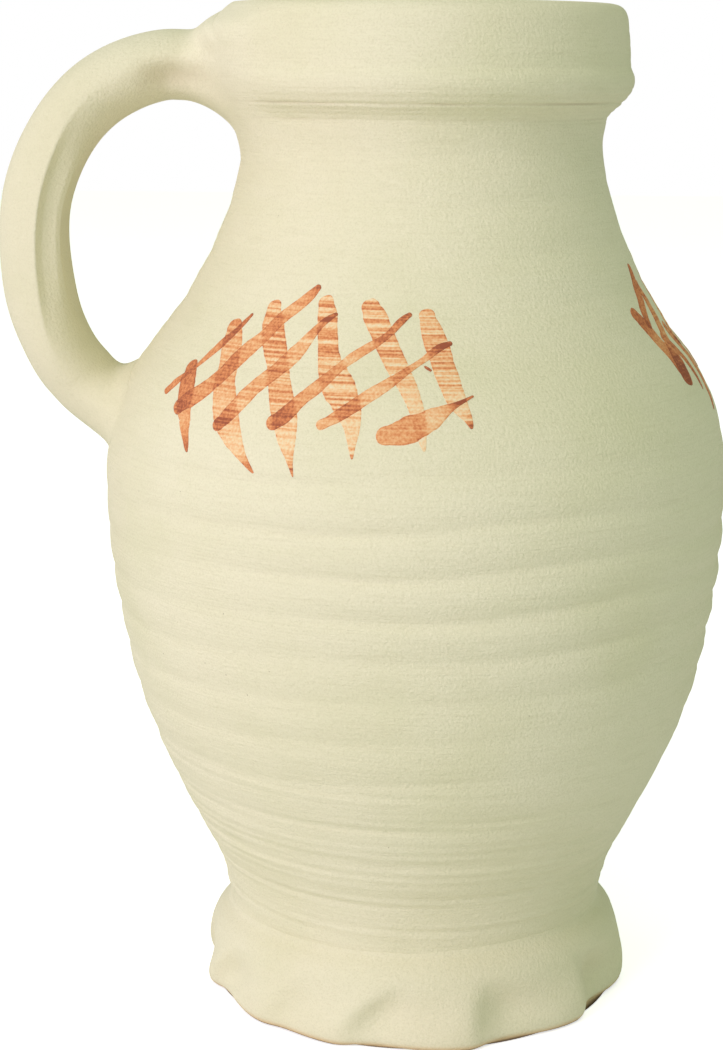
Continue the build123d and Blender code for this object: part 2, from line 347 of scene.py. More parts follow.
def tint(finish, share, tone):
    """A tone laid over the colour that a finish already has."""
    laid_on = finish.node_tree.nodes["Principled BSDF"].inputs["Base Color"].links[0].from_socket
    give_colour(finish, mix_colours(finish.node_tree, share, laid_on, tone))


def clay_finish(name, scratches=1.0):
    """Fired, unglazed clay: matt, faintly mottled, with level wheel scratches, fine grit and rare specks."""
    finish = matt_finish(name, clay_roughness)
    tree = finish.node_tree
    place = clay_place(tree)
    mottle = limits(tree, noise(tree, place, 24.0, 5.0), 0.38, 0.72)
    blush = limits(tree, noise(tree, place, 11.0, 2.0), 0.45, 0.75)
    bands = limits(tree, wheel_lines(tree, place, 0.8, 160.0, 2.0), 0.5, 0.75)
    streaks = limits(tree, wheel_lines(tree, place, 4.0, 1700.0), 0.46, 0.8)
    pores = limits(tree, noise(tree, place, 2600.0, 2.0), 0.45, 0.7)
    cells = add_node(tree, "ShaderNodeTexVoronoi", {"Vector": place, "Scale": 210.0}).outputs
    draw = add_node(tree, "ShaderNodeSeparateColor", {0: cells["Color"]}).outputs[0]
    dots = math_node(tree, "LESS_THAN", cells["Distance"], 0.03)
    specks = times(tree, math_node(tree, "GREATER_THAN", draw, 0.8), dots)
    colour = pale_clay
    for share, strength, tone in (
        (mottle, 1.0, buff_clay), (blush, 0.5, pink_clay), (bands, 0.25, buff_clay),
        (streaks, 0.22 * scratches, drag_buff), (pores, 0.3, drag_buff), (specks, 0.6, speck_brown),
    ):
        colour = mix_colours(tree, times(tree, share, strength), colour, tone)
    give_colour(finish, colour)
    lines = times(tree, wheel_lines(tree, place, 6.0, 1900.0), 0.38 * scratches)
    grit = times(tree, noise(tree, place, 1500.0, 6.0), 0.55)
    give_grain(finish, math_node(tree, "ADD", lines, grit), 0.8, 0.0005)
    return finish


def groove_line_finish():
    """The jug's clay, darker brown in two turned lines under the band."""
    finish = clay_finish("fired_clay")
    tree = finish.node_tree
    place = clay_place(tree)
    groove_patchiness = limits(tree, wheel_lines(tree, place, 2.0, 300.0), 0.35, 0.75)
    # the two turned lines are coloured darker brown, patchy round the jug
    for line_height, strength in brown_groove_lines:
        above = math_node(tree, "SUBTRACT", axis_of(tree, place, 2), line_height * millimetre)
        near = rest_of(tree, limits(tree, math_node(tree, "ABSOLUTE", above), 0.00005, 0.0004))
        tint(finish, times(tree, near, times(tree, groove_patchiness, strength)), groove_brown)
    return finish


jug.data.materials.append(groove_line_finish())
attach(jug, "root")
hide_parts("thrown_body", "rim_collar")

# ---- Thumbed foot ----
# A coil of the same clay pressed on round the base to spread it, one thumb mark beside
# the next. Each mark was pushed in at its left and drawn out to the right, and the kiln
# toasted the lower edge brown; the near-black line where it stands on the table is painted contact shadow.
thumb_crests = np.array([          # a crest's angle at the table, its lean and curl, the next mark's depth
    (-72, 0.6, 0.02, 1.0), (-42.5, 0.5, 0.02, 0.4), (-19.0, 0.1, 0.062, 0.95), (15.9, 0.05, 0.004, 1.1),
    (52, 0.35, -0.04, 1.5), (84, 0.3, 0.0, 1.1), (114, 0.5, 0.01, 0.9), (146, 0.3, 0.02, 1.0),
    (175, 0.6, 0.0, 0.95), (206, 0.4, 0.01, 1.1), (235, 0.5, 0.02, 0.9), (263, 0.6, 0.01, 1.0),
])
thumb_depth = 2.7
thumb_gain = 1.15                  # a mark is this much deeper before its crests are rounded over
crest_nudges = (-2.0, -1.2, -0.4, 0.4, 1.2, 2.0)    # degrees
pillow_height = 0.45               # clay pushed up on a crest by the thumb beside it
pillow_middle, pillow_reach = 7.5, 4.5
foot_height = 19.5
foot_outline = [                   # share of the foot's height, how far it stands out from the wall above
    (0, 5.3), (0.03, 5.8), (0.08, 6.15), (0.18, 6.2), (0.3, 5.9), (0.45, 5.3), (0.6, 4.8), (0.74, 4.1),
    (0.84, 3.1), (0.91, 2.0), (0.96, 1.0), (1.0, 0.4), (1.04, 0.1), (1.08, -0.25),
]
foot_shares = [                    # where its rings of points lie, from the wall down to the table
    1.08, 1.04, 1.02, 1, 0.98, 0.96, 0.935, 0.91, 0.88, 0.84, 0.8, 0.77, 0.73, 0.69, 0.65, 0.61, 0.57, 0.53,
    0.49, 0.45, 0.41, 0.37, 0.33, 0.29, 0.25, 0.21, 0.17, 0.14, 0.11, 0.085, 0.06, 0.04, 0.02, 0.008, 0,
]
foot_inside = [(46.2, 0), (44, 0), (41, 0), (38, 0.4), (37, 5), (37.5, 14), (40.5, 17)]     # radius, height
foot_waves = [(0.3, 1, 40, -1.9), (0.2, 2, 25, 2.2), (0.15, 5, 9, 0.5)]
foot_segments = 720
toasted_tan = (0.68, 0.42, 0.18, 1)
# painted contact shadow: a near-black line right at the table
contact_shadow_brown = (0.13, 0.07, 0.035, 1)
foot_at = by_height(foot_outline)
foot_angles = np.arange(foot_segments) * 360 / foot_segments - 180
foot_turns = np.radians(foot_angles)
foot_top = 18.4 + 0.95 * np.sin(foot_turns) + 1.8 * np.cos(foot_turns)     # higher at the front


def thumb_hollow(angle, height):
    """Depth of the thumb marks round the foot: steep after a leaning crest, then easing out to the next."""
    crests = thumb_crests[:, 0] + thumb_crests[:, 1] * height + thumb_crests[:, 2] * height**2
    crests = np.append(crests, crests[0] + 360)
    turned = (angle - crests[0]) % 360 + crests[0]
    mark = np.clip(np.searchsorted(crests, turned, side="right") - 1, 0, len(thumb_crests) - 1)
    share = (turned - crests[mark]) / (crests[mark + 1] - crests[mark])
    hollow = (1 - (1 - np.clip(share / 0.3, 0, 1)) ** 2) * (1 - fade(share, 0.2, 0.92)) * thumb_gain
    hollow = hollow * thumb_crests[mark, 3] * fade(17 - 6 * share - height, 0, 9.5)
    pushed = np.exp(-(((share - 0.9) / 0.13) ** 2)) + np.exp(-(((share + 0.1) / 0.13) ** 2))
    pushed = pushed * pillow_height / thumb_depth * np.exp(-(((height - pillow_middle) / pillow_reach) ** 2))
    return hollow * (0.6 + 0.4 * fade(height, 0, 6)) - pushed


def soft_hollow(angle, height):
    """The same, with the crests rounded over as a wet thumb leaves them."""
    return sum(thumb_hollow(angle + nudge, height) for nudge in crest_nudges) / len(crest_nudges)


def toast_and_shadow_edge(finish):
    """The kiln's tan on the foot's lowest edge, and a near-black line of painted contact shadow where it
    stands on the table.
    """
    tree = finish.node_tree
    place = clay_place(tree)
    ragged = times(tree, noise(tree, place, 24.0, 5.0), 0.0012)
    edge_height = math_node(tree, "SUBTRACT", axis_of(tree, place, 2), ragged)
    # the tan is the kiln's; the near-black band at the very bottom is painted contact shadow
    for low, high, strength, tone in (
        (-0.0004, 0.0014, 0.7, toasted_tan), (-0.0006, 0.0001, 1.0, contact_shadow_brown),
    ):
        tint(finish, times(tree, rest_of(tree, limits(tree, edge_height, low, high)), strength), tone)


foot_rings = []
for share in foot_shares:
    height = share * foot_top
    hollow = soft_hollow(foot_angles, share * foot_height)
    radius = wall_at(foot_top) + foot_at(share) - thumb_depth * hollow
    radius = radius + waver(foot_angles, height, foot_waves) * fade(1 - share, 0, 0.4)
    lift = (0.1 + 0.7 * np.maximum(hollow, 0)) * (1 - fade(share, 0, 0.5))
    foot_rings.append(round_points(foot_angles, radius, height, lift))
foot_rings += [round_points(foot_angles, radius, height) for radius, height in foot_inside]
foot = clay_skin("thumbed_foot", np.array(foot_rings)[::-1], ends="joined")
foot_clay = clay_finish("foot_clay", scratches=0.25)
toast_and_shadow_edge(foot_clay)
foot.data.materials.append(foot_clay)
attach(foot, "root")
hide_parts("foot_frill")

# ---- Strap handle ----
# A pulled strap of clay, thick in the middle and pinched to its edges, bent from the
# collar down to the shoulder. Both roots were luted on with slip and worked into the
# wall with wet fingers, so the strap runs into the jug without a joint.
strap_route = [                    # x, height, thickness, width, how sharp the edges are
    (-51.5, 206.7, 15.1, 21.5, 0.0), (-55.0, 206.8, 15.0, 22.6, 0.0), (-61.0, 205.6, 14.9, 25.2, 0.05),
    (-68.6, 201.9, 14.9, 27, 0.12), (-75.0, 196.3, 15.0, 27.3, 0.4), (-80.4, 188.6, 15.1, 27.3, 0.85),
    (-83.9, 179.2, 15.1, 27.2, 1.0), (-85.1, 168.8, 15.0, 27, 1.0), (-84.2, 158.5, 15.0, 26.8, 0.8),
    (-81.4, 149.1, 14.7, 26.2, 0.35), (-77.3, 141.3, 15.1, 25, 0.08), (-74.7, 138.3, 15.2, 24.3, 0.0),
]
strap_round = 120
strap_steps = 96
strap_glance = 0.5                 # how far ahead and behind the strap's heading is taken
edge_fold = 24.0                   # degrees round the section that each pinched facet takes
edge_turn = 2.5                    # how far the pinched edges are turned in towards the jug
inner_front = [                    # share of the half thickness towards the jug, of the half width there
    (0, 1), (0.3, 0.88), (0.5, 0.835), (0.75, 0.79), (0.9, 0.73), (0.97, 0.55), (1, 0),
]
dent_middle = np.array([-53.5, -11.5, 204.3])     # a fingertip's dent in the side of the upper root
dent_reach, dent_depth = (5.5, 7.5, 3.0), 2.3
root_rings = 24
# Each root: middle height, half height, half angle on the wall, outer side, clay filled in there and inside.
roots = {
    "upper": (204.9, 13.5, 29.0, 1, 2.2, 0.0),
    "lower": (133.0, 9.6, 17.5, -1, 1.5, 2.6),
}
# painted shade for the strap's outer part, as if it lay out of the light
strap_shade_clay = (0.69, 0.64, 0.46, 1)
# painted shade, brownish, in the fingertip dent at the upper root
dent_shade_brown = (0.58, 0.47, 0.32, 1)
dent_shade_narrow = (90, 90, 190)      # the larger, the narrower the painted dent shade that way
route = np.array(strap_route)
spans = np.linalg.norm(np.diff(route[:, :2], axis=0), axis=1)
lengths = np.concatenate([[0], np.cumsum(spans)])
strap_length = lengths[-1]
strap_at = eased_through(lengths, route)
strap_angles = np.arange(strap_round) * 2 * np.pi / strap_round
strap_in, strap_front = np.sin(strap_angles) < 0, np.cos(strap_angles) < 0


def strap_section(length, thickness, width, sharp):
    """The strap's section: how far each point round it lies out of the bend, and across it."""
    fold = max(np.radians(edge_fold * sharp), 0.01)
    from_edge = np.arcsin(np.abs(np.sin(strap_angles)))
    flat = np.clip(from_edge / fold, 0, 1)
    across = np.where(from_edge < fold, 1 + (np.cos(fold) ** 2 - 1) * flat, np.cos(fold) * np.cos(from_edge))
    across = across * np.where(strap_front, -1, 1)
    depth = np.where(from_edge < fold, np.sin(fold) * flat, np.sin(from_edge))
    squarer = across + (-np.interp(depth, *zip(*inner_front)) - across) * sharp
    across = np.where(strap_in & strap_front, squarer, across)
    depth = depth * np.where(strap_in, -1, 1)
    uneven = 0.16 * np.sin(length / 9 + 1.3 * across) + 0.1 * np.sin(length / 4.1 + 2.1 * depth + 0.7)
    return depth * (thickness / 2 + uneven) - edge_turn * sharp * across**4, across * (width / 2 + uneven)


def unit(vectors):
    return vectors / np.linalg.norm(vectors, axis=-1, keepdims=True)


strap_rings = []
for length in np.linspace(0, strap_length, strap_steps):
    x, height, thickness, width, sharp = strap_at(length)
    behind, ahead = max(length - strap_glance, 0), min(length + strap_glance, strap_length)
    heading = unit(strap_at(ahead)[:2] - strap_at(behind)[:2])
    outward, across = strap_section(length, thickness, width, sharp)
    strap_rings.append(np.stack([x + heading[1] * outward, across, height - heading[0] * outward], -1))
strap_rings = np.array(strap_rings)
dent = np.exp(-np.sum(((strap_rings - dent_middle) / dent_reach) ** 2, -1))
strap_rings[..., 1] += dent_depth * dent


def footprint(root, scale=1.0, proud=0.0):
    """The line round a root where the smeared clay runs out on the wall."""
    middle, half_height, half_angle, outward = roots[root][:4]
    around = np.cos(strap_angles) * scale
    upward = np.sin(strap_angles) * scale * outward
    return on_wall(handle_angle - half_angle * around, middle + half_height * upward, proud)


def root_skin(root, start, onward):
    """Rings that leave the strap straight on and lie down on the wall at the footprint."""
    reach = np.linalg.norm(footprint(root) - start, axis=-1, keepdims=True)
    fill = roots[root][4] * fade(np.sin(strap_angles), 0.3, 0.9)
    fill = fill + roots[root][5] * fade(-np.sin(strap_angles), 0.3, 0.9)
    pulls = [start, start + onward * reach * 0.35, footprint(root, 0.76, fill),
             footprint(root, 0.88, fill * 0.6), footprint(root, 1.0, proud=-0.03)]
    weights = (1, 4, 6, 4, 1)      # of a curve drawn by five pulls
    rings = []
    for share in np.linspace(0, 1, root_rings + 1)[1:]:
        rings.append(sum(weight * (1 - share) ** (4 - order) * share**order * pull
                         for order, (weight, pull) in enumerate(zip(weights, pulls))))
    sunk = footprint(root, 0.9, proud=-2.5)
    return rings + [sunk]


def vector_node(tree, operation, first, second=(0, 0, 0)):
    return add_node(tree, "ShaderNodeVectorMath", {0: first, 1: second}, operation=operation).outputs


def handled_finish():
    """The jug's clay, with painted shade darkening the strap's outer part, and a painted brownish shade in
    the fingertip dent.
    """
    finish = clay_finish("handle_clay", scratches=0.2)
    tree = finish.node_tree
    place = clay_place(tree)
    # painted shade: past x = -76 mm the strap's colour is darkened, as if turned from the light
    strap_shade_share = rest_of(tree, limits(tree, axis_of(tree, place, 0), -0.076, -0.06))
    tint(finish, times(tree, strap_shade_share, 0.3), strap_shade_clay)
    # painted shade: a brownish darkening round the fingertip dent, where shade falls
    dent_shade_middle = tuple(dent_middle * millimetre)
    away = vector_node(tree, "SUBTRACT", place, dent_shade_middle)[0]
    away = vector_node(tree, "LENGTH", vector_node(tree, "MULTIPLY", away, dent_shade_narrow)[0])["Value"]
    away = math_node(tree, "ADD", away, times(tree, noise(tree, place, 420.0, 4.0), 0.7))
    tint(finish, times(tree, rest_of(tree, limits(tree, away, 0.45, 1.35)), 0.34), dent_shade_brown)
    return finish


upper_root = root_skin("upper", strap_rings[0], unit((strap_rings[0] - strap_rings[1]).mean(0)))
lower_root = root_skin("lower", strap_rings[-1], unit((strap_rings[-1] - strap_rings[-2]).mean(0)))
handle = clay_skin("strap_handle_clay", np.array(upper_root[::-1] + list(strap_rings) + lower_root))
handle.data.materials.append(handled_finish())
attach(handle, "root")
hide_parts("strap_handle", "upper_wad", "lower_wad")

# ---- Painted lattices ----
# Thin iron-red slip, brushed on the shoulder in three lattices: upright strokes first,
# then slanting ones across them. The brush skipped over the wheel's scratches, the slip
# pooled at the ends, and two coats show darker where they cross.
upright_strokes = [                # angle, height, width, load of slip along each stroke; then its dryness
    ([(-51.8, 147.0, 1.4, 0.85), (-50.5, 144.9, 4.2, 0.85), (-48.2, 141.2, 4.9, 0.8),
      (-47.0, 138.4, 4.4, 0.6), (-45.3, 135.0, 2.6, 0.6), (-43.7, 132.1, 1.5, 0.9),
      (-43.2, 130.8, 1.0, 0.95)], 0.15),
    ([(-45.4, 155.2, 2.4, 0.7), (-44.1, 153.3, 5.0, 0.6), (-41.7, 149.4, 5.4, 0.5),
      (-39.6, 144.5, 5.5, 0.55), (-37.6, 141.2, 6.1, 0.45), (-35.8, 137.8, 6.3, 0.5),
      (-33.6, 134.8, 4.7, 0.38), (-31.0, 131.7, 2.3, 0.35), (-29.4, 129.8, 1.2, 0.8),
      (-28.2, 128.5, 0.7, 0.95)], 0.5),
    ([(-36.2, 159.5, 2.3, 0.6), (-34.9, 156.9, 4.8, 0.5), (-33.0, 154.2, 5.6, 0.6),
      (-29.2, 148.9, 5.0, 0.5), (-25.7, 143.2, 5.4, 0.5), (-23.7, 138.9, 5.7, 0.5),
      (-22.6, 135.3, 4.2, 0.3), (-21.7, 132.4, 1.9, 0.35), (-21.1, 130.1, 0.7, 0.8),
      (-20.7, 128.5, 0.5, 0.9)], 0.8),
    ([(-22.7, 161.3, 1.6, 0.55), (-21.6, 159.4, 4.1, 0.55), (-19.8, 154.9, 4.4, 0.5),
      (-18.1, 150.1, 4.8, 0.6), (-15.2, 146.0, 7.1, 0.5), (-12.6, 142.3, 5.9, 0.5),
      (-11.2, 138.8, 3.9, 0.3), (-10.8, 135.1, 1.5, 0.3), (-10.6, 132.6, 0.4, 0.6)], 0.9),
    ([(-11.7, 160.9, 1.9, 0.55), (-10.0, 158.6, 5.1, 0.5), (-7.9, 155.6, 4.6, 0.5),
      (-5.4, 151.5, 4.8, 0.55), (-2.7, 147.5, 4.3, 0.4), (-0.8, 144.1, 3.5, 0.3),
      (0.4, 140.5, 3.0, 0.25), (1.0, 136.9, 1.9, 0.2), (1.5, 134.4, 0.4, 0.2)], 1.0),
    ([(1.7, 159.4, 1.6, 0.5), (2.3, 157.3, 4.0, 0.42), (3.9, 153.6, 5.1, 0.6), (5.0, 150.2, 4.9, 0.5),
      (6.3, 146.3, 4.7, 0.45), (7.5, 142.9, 4.0, 0.28), (8.7, 141.0, 2.5, 0.22), (9.6, 139.4, 1.2, 0.7),
      (9.7, 138.5, 0.7, 0.9)], 1.0),
]
slanting_strokes = [
    ([(-54.7, 141.0, 1.4, 0.8), (-53.6, 142.5, 2.3, 0.75), (-52.1, 144.0, 1.9, 0.75),
      (-49.5, 146.8, 1.0, 0.75), (-47.6, 149.2, 2.0, 0.7), (-45.4, 151.9, 2.4, 0.75),
      (-42.8, 155.0, 1.2, 0.85), (-42.1, 156.2, 1.4, 0.9), (-41.5, 157.1, 1.1, 0.95)], 0.1),
    ([(-49.0, 138.4, 2.5, 0.85), (-47.7, 139.8, 4.6, 0.8), (-44.9, 141.6, 4.6, 0.7),
      (-41.8, 144.8, 4.3, 0.65), (-38.4, 150.2, 4.4, 0.65), (-35.1, 153.4, 3.5, 0.5),
      (-32.1, 157.5, 3.3, 0.65), (-29.3, 159.6, 3.0, 0.55), (-26.7, 161.8, 2.4, 0.75),
      (-25.2, 163.3, 1.5, 1.0)], 0.35),
    ([(-37.8, 136.3, 1.9, 0.9), (-35.9, 138.3, 3.6, 0.75), (-34.0, 141.2, 4.0, 0.5),
      (-32.0, 144.2, 3.9, 0.5), (-29.5, 146.7, 4.0, 0.6), (-26.4, 150.2, 4.1, 0.5),
      (-24.6, 152.7, 3.1, 0.4), (-22.5, 155.8, 1.8, 0.65), (-20.6, 157.7, 1.7, 0.95),
      (-19.2, 158.4, 1.4, 1.0)], 0.6),
    ([(-26.1, 138.1, 2.7, 0.75), (-24.5, 139.0, 3.9, 0.8), (-22.0, 142.3, 3.0, 0.6),
      (-19.5, 144.6, 3.2, 0.6), (-14.7, 149.6, 2.2, 0.5), (-12.2, 151.5, 2.4, 0.5),
      (-8.9, 153.4, 1.9, 0.65), (-5.5, 155.8, 1.5, 0.7), (-3.5, 158.1, 1.8, 0.95),
      (-2.2, 158.8, 1.4, 1.05)], 0.3),
    ([(-17.1, 138.3, 1.4, 0.55), (-14.9, 139.5, 2.5, 0.6), (-11.8, 141.8, 3.0, 0.7),
      (-8.2, 144.5, 2.9, 0.4), (-4.8, 146.7, 2.5, 0.55), (-1.4, 149.1, 1.5, 0.6), (2.2, 151.2, 1.5, 0.5),
      (4.4, 153.0, 1.8, 0.9), (6.6, 153.6, 1.4, 1.1)], 0.4),
    ([(-5.8, 136.9, 2.4, 0.6), (-3.5, 137.2, 5.4, 0.6), (-0.9, 138.3, 6.0, 0.65), (1.6, 139.5, 5.3, 0.4),
      (4.0, 140.9, 3.4, 0.35), (6.0, 142.2, 1.7, 0.6), (8.4, 143.3, 0.9, 0.95),
      (10.3, 144.2, 0.3, 0.95)], 0.3),
    ([(1.6, 149.4, 0.7, 1.0), (2.1, 149.1, 0.8, 1.0), (2.6, 148.8, 0.6, 1.0)], 0.0),
]
side_uprights = [                  # the side lattice starts with longer, broader strokes
    ([(-51.2, 150.6, 3.0, 0.9), (-50.0, 149.4, 4.0, 0.9), (-48.4, 147.4, 4.4, 0.85),
      (-46.7, 144.9, 4.4, 0.6), (-45.2, 142.4, 5.4, 0.75), (-44.2, 139.6, 6.6, 0.9),
      (-44.0, 137.8, 6.0, 0.95)], 0.1),
    ([(-42.5, 145.1, 2.0, 0.85), (-39.8, 143.4, 3.2, 0.8), (-38.7, 141.3, 3.0, 0.8),
      (-37.7, 139.0, 2.6, 0.85), (-37.2, 136.9, 2.2, 0.9), (-37.1, 134.1, 1.4, 1.0)], 0.2),
    ([(-34.5, 146.5, 3.0, 0.7), (-32.6, 143.0, 4.4, 0.75), (-31.4, 139.0, 4.6, 0.7),
      (-31.2, 135.0, 4.2, 0.75), (-32.4, 131.8, 3.0, 0.8), (-34.4, 129.4, 1.4, 0.9)], 0.3),
    ([(-24.4, 156.4, 2.3, 0.6), (-24.1, 154.6, 4.4, 0.5), (-23.5, 151.4, 5.0, 0.6),
      (-22.6, 147.6, 4.8, 0.5), (-21.4, 143.0, 5.2, 0.5), (-20.2, 138.6, 5.0, 0.5),
      (-19.4, 134.8, 3.6, 0.35), (-18.9, 131.8, 1.6, 0.5), (-18.6, 129.8, 0.7, 0.8)], 0.8),
] + upright_strokes[3:]
side_slants = [
    ([(-46.8, 148.0, 2.2, 0.85), (-45.9, 150.2, 3.0, 0.85), (-43.7, 152.1, 3.2, 0.8),
      (-41.5, 154.2, 3.6, 0.8), (-40.3, 156.0, 3.4, 0.85), (-40.2, 157.6, 3.0, 0.85),
      (-39.8, 159.2, 2.2, 0.85)], 0.1),
    ([(-44.6, 137.6, 5.0, 0.95), (-43.9, 139.6, 6.0, 0.9), (-42.7, 141.6, 5.0, 0.8),
      (-41.0, 144.3, 4.2, 0.6), (-39.3, 147.8, 3.8, 0.7), (-38.2, 151.0, 3.4, 0.75),
      (-38.0, 154.4, 2.6, 0.75), (-38.4, 156.0, 1.4, 0.8)], 0.3),
    ([(-31.0, 143.0, 2.2, 0.9), (-30.2, 144.6, 3.8, 0.75), (-29.2, 146.6, 4.0, 0.5),
      (-27.6, 149.2, 3.9, 0.5), (-25.6, 152.4, 4.0, 0.6), (-23.0, 155.6, 3.2, 0.5),
      (-20.8, 158.4, 2.0, 0.65), (-19.4, 159.9, 1.6, 0.95)], 0.6),
] + slanting_strokes[3:]
panels = {                         # turn round the jug and lift up the shoulder, the strokes of both coats
    "front": (0.0, 0.0, upright_strokes, slanting_strokes),
    "side": (112.0, 6.0, side_uprights, side_slants),
    "back": (-120.0, 0.0, upright_strokes, slanting_strokes),
}
brush_step = 0.35                  # spacing of the points along a stroke
brush_columns = 15
least_steps = 12
least_round = 0.3                  # how far the brush runs on past a stroke's first and last place, at least
glance = 0.4                       # over which a stroke's heading at its ends is taken
softening = 4                      # steps over which a stroke's changes are eased
head_blunt, head_reach = 1.0, 2.6  # how round the heads are, and how far along the stroke that tells
slant_blunt, tip_reach = 0.85, 1.3
first_coat_proud, second_coat_proud = 0.06, 0.12
slip_under = -0.12                 # each skin's back lies this far inside the clay
nudge = 0.05                       # degrees and millimetres over which the wall's slope is taken
crossing_load, edge_load = 0.2, 0.17    # more slip where two coats cross, and along a stroke's edges
chance = np.random.default_rng(7)
fullest_load = 1.1
slip_colours = [                   # load of slip, colour
    (0.0, (0.82, 0.73, 0.53, 1)), (0.2, (0.85, 0.63, 0.37, 1)), (0.4, (0.83, 0.50, 0.26, 1)),
    (0.56, (0.78, 0.385, 0.17, 1)), (0.7, (0.71, 0.285, 0.115, 1)), (0.86, (0.59, 0.195, 0.077, 1)),
    (fullest_load, (0.33, 0.09, 0.045, 1)),
]
slip_roughness = 0.8


def softened(rows, reach):
    """Each column smoothed along the rows, its two ends kept."""
    reach = min(reach, (len(rows) - 1) // 3)
    bell = np.exp(-0.5 * (np.arange(-2 * reach, 2 * reach + 1) / reach) ** 2)
    before = 2 * rows[0] - rows[2 * reach:0:-1]
    after = 2 * rows[-1] - rows[-2:-2 * reach - 2:-1]
    padded = np.vstack([before, rows, after])
    return np.stack([np.convolve(column, bell / bell.sum(), "valid") for column in padded.T], 1)


def brushed_line(stations, turn, lift):
    """A stroke's middle, run on past both ends by the brush's roundness: how far along each step lies,
    how far from the head and the tip, and the angle, height, squared width and load there."""
    run = np.array(stations, float)
    run[:, 0] += turn
    run[:, 1] += lift
    run[:, 2] **= 2
    spots = on_wall(run[:, 0], run[:, 1])
    lengths = np.concatenate([[0], np.cumsum(np.linalg.norm(np.diff(spots, axis=0), axis=1))])
    whole = lengths[-1]
    run_at = eased_through(lengths, run)
    head_round, tip_round = max(stations[0][2] / 2, least_round), max(stations[-1][2] / 2, least_round)
    steps = max(int((whole + head_round + tip_round) / brush_step), least_steps)
    along = np.linspace(-head_round + 0.01, whole + tip_round - 0.01, steps)
    before, past = np.minimum(along, 0), np.maximum(along - whole, 0)
    state = run_at(np.clip(along, 0, whole))
    leave = (run_at(glance) - run_at(0.0))[:2] / glance
    arrive = (run_at(whole) - run_at(whole - glance))[:2] / glance
    state[:, :2] += before[:, None] * leave + past[:, None] * arrive
    state[:, 2] *= np.clip(1 + before / head_round, 0, 1)
    state[:, 2] *= np.clip(1 - past / tip_round, 0, 1)
    return along, along + head_round, whole + tip_round - along, softened(state, softening)


def blunted(half, from_end, blunt, reach):
    """Half the width along a stroke, filled out to a rounder end."""
    bow = blunt * np.interp(reach, np.sort(from_end), half[np.argsort(from_end)])
    cap = np.sqrt(np.clip(bow**2 - np.clip(bow - from_end, 0, bow) ** 2, 0, None))
    return np.where(from_end < reach, np.maximum(half, cap), half)


def sideways_gains(angle, height):
    """Degrees round and millimetres up the jug for one millimetre along the wall, square to the stroke."""
    round_way = (on_wall(angle + nudge, height) - on_wall(angle - nudge, height)) / (2 * nudge)
    up_way = (on_wall(angle, height + nudge) - on_wall(angle, height - nudge)) / (2 * nudge)
    heading = np.gradient(on_wall(angle, height), axis=0)
    sideways = unit(np.cross(unit(np.cross(round_way, up_way)), heading))
    return [(sideways * way).sum(1) / (way**2).sum(1) for way in (round_way, up_way)]


def stroke_points(stations, turn, lift, proud, tip_blunt):
    """A stroke's skin laid on the wall: its top and bottom points, with the load and the edge at each,
    and half its width at each step."""
    along, from_head, from_tip, state = brushed_line(stations, turn, lift)
    half = np.sqrt(np.maximum(state[:, 2], 0.0004)) / 2
    half = blunted(half, from_head, head_blunt, head_reach)
    half = blunted(half, from_tip, tip_blunt, tip_reach)
    start = chance.uniform(0, 6, 4)
    left = 0.02 * np.sin(along * 0.9 + start[0]) + 0.012 * np.sin(along * 2.7 + start[1])
    right = 0.02 * np.sin(along * 1.1 + start[2]) + 0.012 * np.sin(along * 3.1 + start[3])
    across = np.sin(np.linspace(-1, 1, brush_columns) * np.pi / 2)[None]
    offset = across * half[:, None] * (1 + np.where(across < 0, left[:, None], right[:, None]))
    angle, height = state[:, 0], state[:, 1]
    angle_gain, height_gain = sideways_gains(angle, height)
    grid_angle = angle[:, None] + offset * angle_gain[:, None]
    grid_height = height[:, None] + offset * height_gain[:, None]
    end = np.minimum(from_head, from_tip)[:, None] / 0.5
    edge = np.maximum(np.abs(across), 1 - np.clip(end, 0, 1))
    load = np.repeat(state[:, 3:4], brush_columns, 1)
    tuck = proud - (proud + 0.05) * fade(edge, 0.86, 1.0)
    top, bottom = on_wall(grid_angle, grid_height, tuck), on_wall(grid_angle, grid_height, slip_under)
    return top, bottom, load, edge, half


def lies_over(top, under):
    """1 where a stroke lies on one of the strokes under it, 0 clear of them."""
    over = np.zeros(top.shape[:2])
    for below_middle, below_half in under:
        gap = np.linalg.norm(top[:, :, None] - below_middle[None, None], axis=-1)
        share = gap.min(-1) / np.maximum(below_half[gap.argmin(-1)], 0.05)
        over = np.maximum(over, 1 - fade(share, 0.85, 1.05))
    return over


def stroke_faces(base, rows, columns):
    """The faces of a stroke's top, of its bottom and of the rim that closes them."""
    below = rows * columns
    faces = []
    for row in range(rows - 1):
        for column in range(columns - 1):
            a, b = base + row * columns + column, base + row * columns + column + 1
            c, d = b + columns, a + columns
            faces += [(a, d, c, b), (a + below, b + below, c + below, d + below)]
    rim = [base + column for column in range(columns)]
    rim += [base + row * columns + columns - 1 for row in range(1, rows)]
    rim += [base + (rows - 1) * columns + column for column in range(columns - 2, -1, -1)]
    rim += [base + row * columns for row in range(rows - 2, 0, -1)]
    faces += [(here, there, there + below, here + below) for here, there in zip(rim, rim[1:] + rim[:1])]
    return faces


